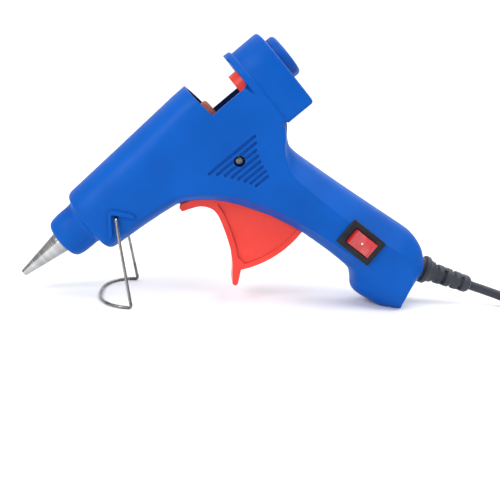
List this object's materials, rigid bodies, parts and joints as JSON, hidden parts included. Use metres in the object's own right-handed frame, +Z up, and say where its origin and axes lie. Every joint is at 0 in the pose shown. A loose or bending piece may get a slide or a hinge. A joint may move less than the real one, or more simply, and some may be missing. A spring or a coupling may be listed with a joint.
{
  "type": "hot glue gun",
  "caption": "Small hand-held hot glue gun with a pistol grip, swinging trigger, wire stand, stick window, rocker switch and mains flex.",
  "frame": {"origin": "on the table, under the middle of the gun's box without its flex", "axes": "+Z up, +X from the nozzle towards the handle, +Y to the gun's right"},
  "size_m": [0.265, 0.0537, 0.0975],
  "materials": {
    "blue_abs": "fine matt texture",
    "red_plastic": "satin",
    "rocker_red": "glossy, slightly translucent",
    "black_plastic": "satin",
    "nozzle_metal": "turned and plated",
    "aluminium": "die cast",
    "steel": "plain wire and sheet",
    "brass": "stamped",
    "ceramic": "dull ceramic",
    "film": "amber film",
    "silicone": "matt silicone",
    "lead_white": "glass-sleeved wire",
    "lead_brown": "PVC",
    "clamp_white": "nylon",
    "flex_black": "soft PVC"
  },
  "bodies": {
    "housing": {"left_shell": "blue_abs", "right_shell": "blue_abs", "front_collar": "blue_abs", "nozzle": "nozzle_metal", "melt_chamber": "aluminium", "heater_plate": "ceramic", "heater_film": "film", "heater_clip": "steel", "inlet_sleeve": "silicone", "sleeve_clip": "steel", "inlet_ring": "blue_abs", "trigger_pin": "steel", "return_spring": "steel", "switch_case": "black_plastic", "switch_terminals": "brass", "housing_screws": "steel", "inner_flex": "flex_black", "cord_clamp": "clamp_white", "clamp_screws": "steel", "core_leads": "lead_brown", "heater_leads": "lead_white", "crimp_sleeve": "clamp_white", "strain_relief": "flex_black", "mains_flex": "flex_black", "flex_coil": "flex_black", "coil_tie": "black_plastic", "plug_body": "flex_black", "plug_pins": "steel"},
    "trigger": {"trigger": "red_plastic"},
    "feed": {"feeder": "red_plastic", "grip_plate": "steel"},
    "stand": {"stand_wire": "steel"},
    "rocker": {"switch_rocker": "rocker_red"}
  },
  "joints": [
    {"name": "trigger_pull", "type": "hinge", "parent": "housing", "child": "trigger", "pos_m": [-0.0033, 0, 0.04853], "axis": [0, -1, 0], "range_deg": [0, 25], "stiffness_Nm_per_rad": 0.06, "springref_deg": -17.19},
    {"name": "feeder_slide", "type": "slide", "parent": "housing", "child": "feed", "axis": [-0.7396, 0, -0.673], "range_m": [0, 0.0067], "deforming": ["return_spring"]},
    {"name": "stand_swing", "type": "hinge", "parent": "housing", "child": "stand", "pos_m": [-0.03964, 0, 0.03142], "axis": [0, -1, 0], "range_deg": [0, 62]},
    {"name": "switch_rock", "type": "hinge", "parent": "housing", "child": "rocker", "pos_m": [0.04823, -0.0126, 0.02593], "axis": [-0.5878, 0, -0.809], "range_deg": [0, 16]}
  ],
  "couplings": [
    {"joint": "feeder_slide", "follows": "trigger_pull", "m_per_rad": 0.015344}
  ]
}
